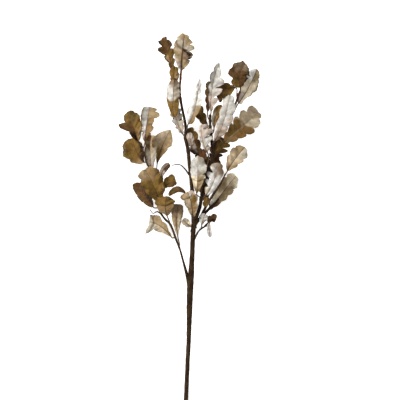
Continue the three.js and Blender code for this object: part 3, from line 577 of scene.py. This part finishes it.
def surface_normals(rows):
    """The direction out of the top of the middle surface at every point."""
    normals = []
    for i, row in enumerate(rows):
        before, after = rows[max(i - 1, 0)], rows[min(i + 1, len(rows) - 1)]
        line = []
        for j in range(len(row)):
            near, far = row[max(j - 1, 0)]["point"], row[min(j + 1, len(row) - 1)]["point"]
            along = after[j]["point"] - before[j]["point"]
            line.append((far - near).cross(along).normalized())
        # Across the midrib the direction is the middle one, which keeps its rod round
        stop = HALF_COLUMNS if row[0]["rod"] else len(RIB_COLUMNS) - 1
        for j in range(HALF_COLUMNS - stop, HALF_COLUMNS + stop + 1):
            line[j] = line[HALF_COLUMNS]
        normals.append(line)
    return normals


def tone_at(spot, halves, ribs, edges, leaf, shift):
    """The colour of a place on a leaf face: its half's tones from base to tip, edge and midrib. Its dark
    tones and darker margins partly paint shade.
    """
    soft = leaf.blend
    wander = noise.noise((spot["point"] + shift) / TONE_WAVE) * TONE_WANDER * soft
    # The tones slant with the first fold, so a painted shadow band in them lies along the fold's step
    slant = leaf.folds[0][1] if leaf.folds else 0
    t = spot["t"] - slant * spot["share"] * spot["sign"] + wander
    tones = halves[spot["side"]]
    place = t * len(tones) - 0.5
    index = min(max(int(place), 0), len(tones) - 2)
    colour = blend(tones[index], tones[index + 1], smooth(0.5 - soft, 0.5 + soft, place - index))
    # Margin tones: partly the leaf's own tints, partly painted shade where a margin rolls away from the
    # light
    for half, tone, start in edges:
        if half == spot["side"]:
            colour = blend(colour, tone, smooth(start, 1, spot["share"] + wander * EDGE_WANDER))
    stalk = 1 if spot["rod"] else 1 - smooth(*STALK_EDGE, spot["w"] / spot["rib"])
    return blend(colour, blend(*ribs, smooth(0, RIB_FADE, spot["t"])), STALK_TINT * stalk)


def skin(name, rings, uvs=None, tones=None):
    """Rolls a grid round rings of points in plan millimetres and closes its seam and its ends."""
    columns = len(rings[0])
    bpy.ops.object.select_all(action="DESELECT")
    bpy.ops.mesh.primitive_grid_add(x_subdivisions=columns, y_subdivisions=len(rings) - 1, size=1)
    made = bpy.context.active_object
    mesh = made.data
    made.name = mesh.name = name
    closed = [[*ring, ring[0]] for ring in rings]
    flat = [value for ring in closed for point in ring for value in (point - ORIGIN) * MM]
    mesh.vertices.foreach_set("co", flat)
    if uvs:
        each = [pair for ring in uvs for pair in (*ring, ring[0])]
        layer = mesh.uv_layers.active
        layer.data.foreach_set("uv", [value for loop in mesh.loops for value in each[loop.vertex_index]])
        tone = mesh.attributes.new("tone", "FLOAT_COLOR", "POINT")
        colours = [colour for ring in tones for colour in (*ring, ring[0])]
        tone.data.foreach_set("color", [value for colour in colours for value in colour])
        faces = [int(face.index % columns >= columns // 2) for face in mesh.polygons]
        mesh.polygons.foreach_set("material_index", faces)
    bpy.ops.object.mode_set(mode="EDIT")
    bpy.ops.mesh.select_all(action="SELECT")
    bpy.ops.mesh.remove_doubles(threshold=MERGE * MM)
    bpy.ops.mesh.fill_holes(sides=0)
    bpy.ops.mesh.normals_make_consistent(inside=False)
    bpy.ops.object.mode_set(mode="OBJECT")
    bpy.ops.object.shade_smooth_by_angle(angle=LEAF_CREASE)
    return made


def build_leaf(name, leaf, sizes, colours, materials):
    """One leaf: a thin waved blade on its round petiole, with a finish for each face."""
    rows, shift = leaf_surface(name, leaf, sizes)
    pale = leaf.face == "pale"
    kinds = ("downy", "waxy") if pale else ("waxy", "downy")

    def values(tones):
        return [list(getattr(colours, tone)) for tone in tones.split()]

    back = ("golden brown", "brown golden") if pale else ("greige pink", "grey greige")
    seen, turned = ([values(half) for half in halves] for halves in (leaf.tones, back))
    seen_ribs = values("petiole " + (leaf.rib or kinds[0] + "_midrib"))
    turned_ribs = values("petiole " + kinds[1] + "_midrib")
    edges = [(half, values(tone)[0], start) for half, tone, start in leaf.edges]
    rings, uvs, tones = [], [], []
    for row, line in zip(rows, surface_normals(rows)):
        top, bottom = [], []
        for spot, normal in zip(row, line):
            blade = sizes.blade_thickness / MM / 2 * lerp(1, MARGIN_TAPER, spot["share"])
            rod = math.sqrt(max(spot["rib"] ** 2 - spot["w"] ** 2, 0))
            ridge = max(blade, rod)
            groove = max(blade, rod * (1 - smooth(0, ROD_FADE, spot["t"])))
            over, under = (ridge, groove) if pale else (groove, ridge)
            uv = (0.5 + (0.5 if spot["side"] else -0.5) * spot["share"], spot["vein"])
            face = tone_at(spot, seen, seen_ribs, edges, leaf, shift)
            other = tone_at(spot, turned, turned_ribs, (), leaf, shift)
            top.append((spot["point"] + normal * over, uv, face))
            bottom.append((spot["point"] - normal * under, uv, other))
        ring = [*top, *reversed(bottom)]
        for point, *_ in ring:
            point.z = max(point.z, ORIGIN.z)
        for store, part in zip((rings, uvs, tones), zip(*ring)):
            store.append(list(part))
    made = skin(name + "_blade", rings, uvs, tones)
    for key in kinds:
        made.data.materials.append(materials[key])
    return made


def limb_rings(name, limb, feet):
    """Rings of points round a limb, with swellings where leaves grow and a bud at its tip."""
    shift = noise_shift(random.Random(name))
    samples = sample_limb(limb, BARK_STEP)
    tip_centre, tip_along, tip_radius = samples[-1]
    if name != "trunk":
        for step, wide in BUD:
            place = tip_centre + tip_along * step * tip_radius
            samples.append((place, tip_along, tip_radius * wide))
    rings = []
    travelled = 0
    last = samples[0][0]
    for centre, along, radius in samples:
        travelled += (centre - last).length
        last = centre
        side = Vector((along.y, -along.x, 0)).normalized()
        up = side.cross(along)
        knot = sum(math.exp(-((centre.xy - foot).length / KNOT_REACH) ** 2) for foot in feet)
        collar = 0 if name == "trunk" else math.exp(-travelled / COLLAR_REACH)
        size = radius * (1 + KNOT_SWELL * min(knot, MOST_KNOT) + COLLAR_SWELL * collar)
        ring = []
        for j in range(BARK_SIDES):
            turn = -2 * math.pi * j / BARK_SIDES
            way = side * math.cos(turn) + up * math.sin(turn)
            spot = centre + way * size
            lump = noise.noise((spot + shift) / LUMP_WAVE)
            stretched = Vector((spot.x / FURROW_WIDTH, spot.y / FURROW_LENGTH, spot.z / FURROW_WIDTH))
            furrow = noise.noise(stretched + shift)
            point = centre + way * size * (1 + LUMP_SHARE * lump + FURROW_SHARE * furrow)
            point.z = max(point.z, ORIGIN.z)
            ring.append(point)
        rings.append(ring)
    return rings


def build_wood(materials):
    """The bare stem and its limbs, skinned one by one and joined by a union."""
    limbs = []
    for name, limb in LIMBS.items():
        feet = [seat[0].xy for seat in SEATS[name] for leaf in LEAVES.values()
            if leaf.limb == name and (seat[0].xy - Vector(leaf.foot)).length < SEAT_STEP / 2]
        limbs.append(skin("limb_" + name, limb_rings(name, limb, feet)))
    stem, *others = limbs
    for limb in others:
        join = stem.modifiers.new("join", "BOOLEAN")
        join.operation = "UNION"
        join.solver = "EXACT"
        join.object = limb
        bpy.ops.object.select_all(action="DESELECT")
        stem.select_set(True)
        bpy.context.view_layer.objects.active = stem
        bpy.ops.object.modifier_apply(modifier=join.name)
        bpy.data.objects.remove(limb)
    stem.name = "bark_and_wood"
    stem.data.materials.clear()
    stem.data.materials.append(materials["bark"])
    stem.data.materials.append(materials["cut"])
    cut = min(v.co.y for v in stem.data.vertices) + CUT_DEPTH * MM
    for face in stem.data.polygons:
        face.material_index = int(face.normal.y < -CUT_FACING and face.center.y < cut)
    bpy.ops.object.shade_smooth_by_angle(angle=BARK_CREASE)
    return stem


def add(tree, kind, inputs=None, **settings):
    """Adds a node with its settings. An input is a value, or the socket or node that feeds it."""
    made = tree.nodes.new("ShaderNode" + kind)
    for key, value in settings.items():
        setattr(made, key, value)
    for key, value in (inputs or {}).items():
        if isinstance(value, bpy.types.Node):
            value = value.outputs[0]
        if isinstance(value, bpy.types.NodeSocket):
            tree.links.new(value, made.inputs[key])
        else:
            made.inputs[key].default_value = value
    return made


def new_material(name):
    """A material, its node tree, and the only node in it, which gives the place on the piece."""
    made = bpy.data.materials.new(name)
    made.use_nodes = True
    tree = made.node_tree
    tree.nodes.clear()
    return made, tree, add(tree, "TexCoord").outputs["Object"]


def leaf_material(name, colours, downy):
    """A dried oak leaf face.

    The waxy upper face has a dull shine, light side veins and a dark dry margin. The downy
    face has no shine but a soft felt, and its veins and net stand out from it.
    """
    made, tree, place = new_material(name)
    tone = add(tree, "Attribute", attribute_name="tone")
    uv = add(tree, "UVMap", uv_map="UVMap")
    parts = add(tree, "SeparateXYZ", {"Vector": uv}).outputs

    # Blotches of about 9 mm and flecks of about 2 mm, as on leaves that dried unevenly
    blotches = add(tree, "TexNoise", {"Vector": place, "Scale": 110, "Detail": 3, "Roughness": 0.6})
    flecks = add(tree, "TexNoise", {"Vector": place, "Scale": 520, "Detail": 2, "Roughness": 0.7})
    # Fine net of veinlets in cells of about 2.4 mm
    net = add(tree, "TexVoronoi", {"Vector": place, "Scale": 420}, feature="DISTANCE_TO_EDGE")
    net_line = add(tree, "MapRange", {"Value": net, "From Max": 0.09, "To Min": 1, "To Max": 0})
    # Side veins run from the midrib to the middle of each lobe
    doubled = add(tree, "Math", {0: parts["X"], 1: 2, 2: -1}, operation="MULTIPLY_ADD")
    across = add(tree, "Math", {0: doubled}, operation="ABSOLUTE")
    wave = add(tree, "Math", {0: parts["Y"], 1: 0.5}, operation="PINGPONG")
    line = add(tree, "MapRange", {"Value": wave, "From Min": 0.455, "From Max": 0.49})
    faded = add(tree, "MapRange", {"Value": across, "From Min": 0.1, "To Min": 1, "To Max": 0.35})
    vein = add(tree, "Math", {0: line, 1: faded}, operation="MULTIPLY")

    shade = add(tree, "MapRange",
        {"Value": blotches, "From Min": 0.3, "From Max": 0.7, "To Min": 0.66, "To Max": 1.2})
    grey = add(tree, "CombineColor", {0: shade, 1: shade, 2: shade})
    colour = add(tree, "Mix", {0: 1, 6: tone, 7: grey}, data_type="RGBA", blend_type="MULTIPLY").outputs[2]
    dry = add(tree, "MapRange", {"Value": across, "From Min": 0.82})
    patchy = add(tree, "MapRange",
        {"Value": flecks, "From Min": 0.35, "From Max": 0.6, "To Min": 0.1, "To Max": 0.55})
    margin = add(tree, "Math", {0: dry, 1: patchy}, operation="MULTIPLY")
    specks = add(tree, "MapRange", {"Value": flecks, "From Min": 0.62, "From Max": 0.78})
    # Each layer covers the one below it: its mask, its strength and its colour
    layers = (
        (specks, 0.2, colours.fleck),
        (net_line, 0.1, colours.fleck),
        (vein, 0.5, colours.downy_vein if downy else colours.waxy_vein),
        (margin, 1, colours.downy_margin if downy else colours.waxy_margin),
    )
    for mask, strength, cover in layers:
        share = add(tree, "Math", {0: mask, 1: strength}, operation="MULTIPLY")
        colour = add(tree, "Mix", {0: share, 6: colour, 7: tuple(cover)}, data_type="RGBA").outputs[2]

    # Veins stand up most, then the flecks and the net
    ribs = add(tree, "Math", {0: vein, 1: 0.8, 2: flecks}, operation="MULTIPLY_ADD")
    height = add(tree, "Math", {0: net_line, 1: 0.4, 2: ribs}, operation="MULTIPLY_ADD")
    bump = add(tree, "Bump", {"Height": height, "Strength": 0.7, "Distance": 0.6 * MM})
    surface = add(tree, "BsdfPrincipled", {"Base Color": colour, "Normal": bump,
        "Roughness": 0.9 if downy else 0.65, "Specular IOR Level": 0.06 if downy else 0.1})
    add(tree, "OutputMaterial", {"Surface": surface})
    return made


def bark_material(name, colours):
    """Young oak bark, dull and nearly black, with brown streaks, olive patches and pale pores.

    The newest bark, at the top of the leader, is reddish.
    """
    made, tree, place = new_material(name)
    # Streaks of about 1.5 mm by 10 mm along the stem
    stretched = add(tree, "Mapping", {"Vector": place, "Scale": (1, 0.16, 1)})
    streaks = add(tree, "TexNoise", {"Vector": stretched, "Scale": 600, "Detail": 4, "Roughness": 0.6})
    # Olive patches of about 20 mm
    patches = add(tree, "TexNoise", {"Vector": place, "Scale": 45, "Detail": 2})
    # Pores about 4 mm apart
    pores = add(tree, "TexVoronoi", {"Vector": place, "Scale": 260})
    upwards = add(tree, "SeparateXYZ", {"Vector": place}).outputs["Y"]
    young, old = ((y - ORIGIN.y) * MM for y in (YOUNG_BARK, YOUNG_BARK - YOUNG_BARK_FADE))
    # Each layer covers the one below it: its mask, from and to where it grows, and its colour
    layers = (
        (streaks, 0.4, 0.68, 0, 1, colours.bark_streak),
        (patches, 0.45, 0.7, 0, 0.55, colours.bark_olive),
        (upwards, old, young, 0, 0.85, colours.bark_young),
        (pores, 0.1, 0.18, 0.5, 0, colours.bark_pore),
    )
    colour = tuple(colours.bark)
    for mask, low, high, start, end, cover in layers:
        share = add(tree, "MapRange", {"Value": mask, "From Min": low, "From Max": high,
            "To Min": start, "To Max": end})
        colour = add(tree, "Mix", {0: share, 6: colour, 7: tuple(cover)}, data_type="RGBA").outputs[2]
    bump = add(tree, "Bump", {"Height": streaks, "Strength": 0.8, "Distance": 0.6 * MM})
    surface = add(tree, "BsdfPrincipled",
        {"Base Color": colour, "Normal": bump, "Roughness": 0.8, "Specular IOR Level": 0.08})
    add(tree, "OutputMaterial", {"Surface": surface})
    return made


def cut_material(name, colours):
    """The cut end of the stem: pale dry oak, dull, with fine darker grain of about 1 mm."""
    made, tree, place = new_material(name)
    grain = add(tree, "TexNoise", {"Vector": place, "Scale": 900, "Detail": 3})
    colour = add(tree, "Mix", {0: grain, 6: tuple(colours.wood_grain), 7: tuple(colours.wood)},
        data_type="RGBA").outputs[2]
    surface = add(tree, "BsdfPrincipled",
        {"Base Color": colour, "Roughness": 0.8, "Specular IOR Level": 0.2})
    add(tree, "OutputMaterial", {"Surface": surface})
    return made


def floor_material(colours):
    """Plain white studio paper, matt, with a faint tooth of about 2.5 mm, lit a little from behind."""
    made, tree, place = new_material("studio_paper")
    tooth = add(tree, "TexNoise", {"Vector": place, "Scale": 400})
    colour = add(tree, "Mix", {0: tooth, 6: tuple(colours.paper_tooth), 7: tuple(colours.paper)},
        data_type="RGBA").outputs[2]
    surface = add(tree, "BsdfPrincipled", {
        "Base Color": colour, "Roughness": 0.9, "Specular IOR Level": 0.1,
        "Emission Color": tuple(colours.paper), "Emission Strength": PAPER_GLOW})
    add(tree, "OutputMaterial", {"Surface": surface})
    return made


def shared_materials(colours):
    """The finishes, made once and then found by name."""
    found = bpy.data.materials.get
    return {
        "waxy": found(WAXY) or leaf_material(WAXY, colours, False),
        "downy": found(DOWNY) or leaf_material(DOWNY, colours, True),
        "bark": found(BARK) or bark_material(BARK, colours),
        "cut": found(WOOD) or cut_material(WOOD, colours),
    }


def length_property(name, size, description):
    """A length setting whose default is given in millimetres."""
    return FloatProperty(name=name, description=description, default=size * MM, unit="LENGTH")


def share_property(name, share, description):
    return FloatProperty(name=name, description=description, default=share, subtype="FACTOR", min=0, max=2)


def colour_property(key, code, description):
    """A colour setting whose default is an sRGB hex colour."""
    return FloatVectorProperty(name=key.replace("_", " ").capitalize(), description=description,
        subtype="COLOR", size=4, min=0, max=1, default=linear(code))


class OakLeafSizes(PropertyGroup):
    """How thick and how wavy the finished leaves are."""
    blade_thickness: length_property("Blade thickness", 0.6, "Thickness of a blade beside its midrib")
    petiole_radius: length_property("Petiole radius", 1.4, "Radius of the stalk where it meets the blade")
    pucker: length_property("Pucker", 0.8, "How far the blade stands up between its side veins")
    crumple: length_property("Crumple", 7.5, "How far the dry blade is crumpled out of its plane")
    curl: share_property("Curl", 0.42, "How far the margins curl, as a share of the half width")
    wave: share_property("Wave", 0.17, "How far the lobes rise and fall, as a share of the half width")
    lobe_tilt: share_property("Lobe tilt", 0.32, "How far single lobes bend, as a share of their reach")


class OakColours(PropertyGroup):
    """Every colour of the branch and of the floor."""
    __annotations__ = {key: colour_property(key, *rest) for key, rest in {
        "golden": ("#6e5426", "Upper face in full golden brown"),
        "honey": ("#866639", "Upper face in lighter golden brown"),
        "olive": ("#574624", "Upper face that dried greenish"),
        "brown": ("#50381b", "Upper face in darker brown"),
        # Dark is also painted shade: on folded halves, on leaf bases in the dense middle, on shaded margins
        # and under fold caps
        "dark": ("#28170a", "Shrivelled, nearly black parts"),
        "rust": ("#53341c", "Upper face in reddish brown"),
        "tan": ("#876d4a", "Faded upper face"),
        "fawn": ("#958060", "Much faded upper face"),
        "sand": ("#ab997f", "Upper face bleached to pale sand"),
        "cream": ("#e0d0b3", "Upper face bleached to warm cream"),
        "taupe": ("#73604b", "Underside in grey brown"),
        "greige": ("#a29886", "Underside in beige grey"),
        "grey": ("#928878", "Underside in plain grey"),
        "chalk": ("#bab6ae", "Whitish downy underside"),
        "white": ("#d6d3cd", "Underside bleached white"),
        "pink": ("#b3a497", "Underside with a pinkish tint"),
        "fleck": ("#33200d", "Dark specks and the net of veinlets"),
        "waxy_vein": ("#8a6a40", "Side veins of the upper face"),
        "downy_vein": ("#9e8a73", "Side veins of the underside"),
        "waxy_margin": ("#392410", "Dry edge of the upper face"),
        "downy_margin": ("#705a44", "Dry edge of the underside"),
        "petiole": ("#3d2417", "Petioles and the stoutest midribs"),
        "waxy_midrib": ("#4c3320", "Midrib of the upper face"),
        "downy_midrib": ("#8f7660", "Midrib of the underside"),
        "bark": ("#1e130a", "Ground colour of the bark"),
        "bark_streak": ("#3b2817", "Lighter streaks along the bark"),
        "bark_olive": ("#463924", "Olive patches on the bark"),
        "bark_young": ("#5c3626", "Reddish bark at the top of the leader"),
        "bark_pore": ("#635542", "Small pale pores in the bark"),
        "wood": ("#a58f6d", "The cut end of the stem"),
        "wood_grain": ("#6e5738", "Darker grain in the cut end"),
        "paper": ("#ffffff", "The floor"),
        "paper_tooth": ("#fafaf9", "The faint grain of the floor"),
    }.items()}


class OakStageSettings(PropertyGroup):
    """The view and the lights."""
    view_width: length_property("View width", 960, "Width of what the camera sees")
    camera_height: length_property("Camera height", 3600, "Height of the camera over the leaves")
    sky: share_property("Sky", 0.75, "Strength of the even light from all sides")
    lamp: FloatProperty(name="Lamp", description="Power of the soft lamp", default=255, unit="POWER")


class OBJECT_OT_oak_wood(Operator):
    """Model the bare stem with its limbs and twigs"""
    bl_idname = "object.oak_wood"
    bl_label = "Stem and twigs"

    def execute(self, context):
        made = build_wood(shared_materials(context.scene.oak_colours))
        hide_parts("woody_stem")
        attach(made, "root")
        return {"FINISHED"}


class LeafGroup:
    """What the leaf operators share: every leaf whose name starts with their prefix."""
    prefix = ""

    def execute(self, context):
        colours = context.scene.oak_colours
        materials = shared_materials(colours)
        group = {name: leaf for name, leaf in LEAVES.items() if name.startswith(self.prefix)}
        if not group:
            raise RuntimeError("no leaf starts with " + self.prefix)
        for name, leaf in group.items():
            made = build_leaf(name, leaf, context.scene.oak_leaf_sizes, colours, materials)
            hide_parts(name)
            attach(made, "root")
        return {"FINISHED"}


class OBJECT_OT_oak_left_leaves(LeafGroup, Operator):
    """Model the leaves on the left branch"""
    bl_idname = "object.oak_left_leaves"
    bl_label = "Left leaves"
    prefix = "left_"


class OBJECT_OT_oak_stem_leaves(LeafGroup, Operator):
    """Model the two small leaves on the stem"""
    bl_idname = "object.oak_stem_leaves"
    bl_label = "Stem leaves"
    prefix = "stem_"


class OBJECT_OT_oak_top_leaves(LeafGroup, Operator):
    """Model the leaves on the leader"""
    bl_idname = "object.oak_top_leaves"
    bl_label = "Top leaves"
    prefix = "top_"


class OBJECT_OT_oak_middle_leaves(LeafGroup, Operator):
    """Model the dense leaves in the middle"""
    bl_idname = "object.oak_middle_leaves"
    bl_label = "Middle leaves"
    prefix = "middle_"


class OBJECT_OT_oak_right_leaves(LeafGroup, Operator):
    """Model the leaves on the right leader and its branches"""
    bl_idname = "object.oak_right_leaves"
    bl_label = "Right leaves"
    prefix = "right_"


class OBJECT_OT_oak_cluster_leaves(LeafGroup, Operator):
    """Model the small crumpled leaves on the low twig"""
    bl_idname = "object.oak_cluster_leaves"
    bl_label = "Cluster leaves"
    prefix = "cluster_"


class OBJECT_OT_oak_stage(Operator):
    """Lay the pale floor and set the soft lights and the camera that looks down on the branch"""
    bl_idname = "object.oak_stage"
    bl_label = "Stage"

    def execute(self, context):
        scene = context.scene
        stage = scene.oak_stage
        bpy.ops.object.select_all(action="DESELECT")
        bpy.ops.mesh.primitive_plane_add(size=FLOOR_SIZE)
        floor = context.active_object
        floor.name = "floor"
        floor.data.materials.append(floor_material(scene.oak_colours))

        world = bpy.data.worlds.new("studio")
        world.use_nodes = True
        sky = world.node_tree.nodes["Background"]
        sky.inputs["Color"].default_value = linear("#fbfbfa")
        sky.inputs["Strength"].default_value = stage.sky
        scene.world = world
        scene.view_settings.view_transform = "Standard"

        aim = LAMP_PLACE.to_track_quat("Z", "Y").to_euler()
        bpy.ops.object.light_add(type="AREA", location=LAMP_PLACE, rotation=aim)
        lamp = context.active_object.data
        lamp.size = LAMP_SIZE
        lamp.energy = stage.lamp

        middle = (VIEW_CENTRE - ORIGIN) * MM
        height = stage.camera_height
        bpy.ops.object.camera_add(location=(middle.x, middle.y, height + middle.z), rotation=(0, 0, 0))
        camera = context.active_object
        camera.data.sensor_width = SENSOR_WIDTH
        camera.data.lens = SENSOR_WIDTH * height / stage.view_width
        camera.data.clip_end = VIEW_DEPTH
        camera.data.dof.use_dof = False
        scene.camera = camera
        return {"FINISHED"}


MODELLING = (
    OBJECT_OT_oak_wood,
    OBJECT_OT_oak_left_leaves,
    OBJECT_OT_oak_stem_leaves,
    OBJECT_OT_oak_top_leaves,
    OBJECT_OT_oak_middle_leaves,
    OBJECT_OT_oak_right_leaves,
    OBJECT_OT_oak_cluster_leaves,
    OBJECT_OT_oak_stage,
)


class VIEW3D_PT_oak_leaf_stem(Panel):
    """The sizes, the colours and the steps of the branch, in order"""
    bl_label = "Oak leaf stem"
    bl_idname = "VIEW3D_PT_oak_leaf_stem"
    bl_space_type = "VIEW_3D"
    bl_region_type = "UI"
    bl_category = "Oak leaf stem"

    def draw(self, context):
        scene = context.scene
        for group in (scene.oak_leaf_sizes, scene.oak_colours, scene.oak_stage):
            for name in group.__annotations__:
                self.layout.prop(group, name)
        for step in MODELLING:
            self.layout.operator(step.bl_idname)


CLASSES = (OakLeafSizes, OakColours, OakStageSettings, *MODELLING, VIEW3D_PT_oak_leaf_stem)


def register():
    for cls in CLASSES:
        bpy.utils.register_class(cls)
    bpy.types.Scene.oak_leaf_sizes = PointerProperty(type=OakLeafSizes)
    bpy.types.Scene.oak_colours = PointerProperty(type=OakColours)
    bpy.types.Scene.oak_stage = PointerProperty(type=OakStageSettings)


def unregister():
    del bpy.types.Scene.oak_stage
    del bpy.types.Scene.oak_colours
    del bpy.types.Scene.oak_leaf_sizes
    for cls in reversed(CLASSES):
        bpy.utils.unregister_class(cls)


def main():
    """Models the branch and its stage in order."""
    register()
    for step in MODELLING:
        group, name = step.bl_idname.split(".")
        getattr(getattr(bpy.ops, group), name)()


if __name__ == "__main__":
    main()
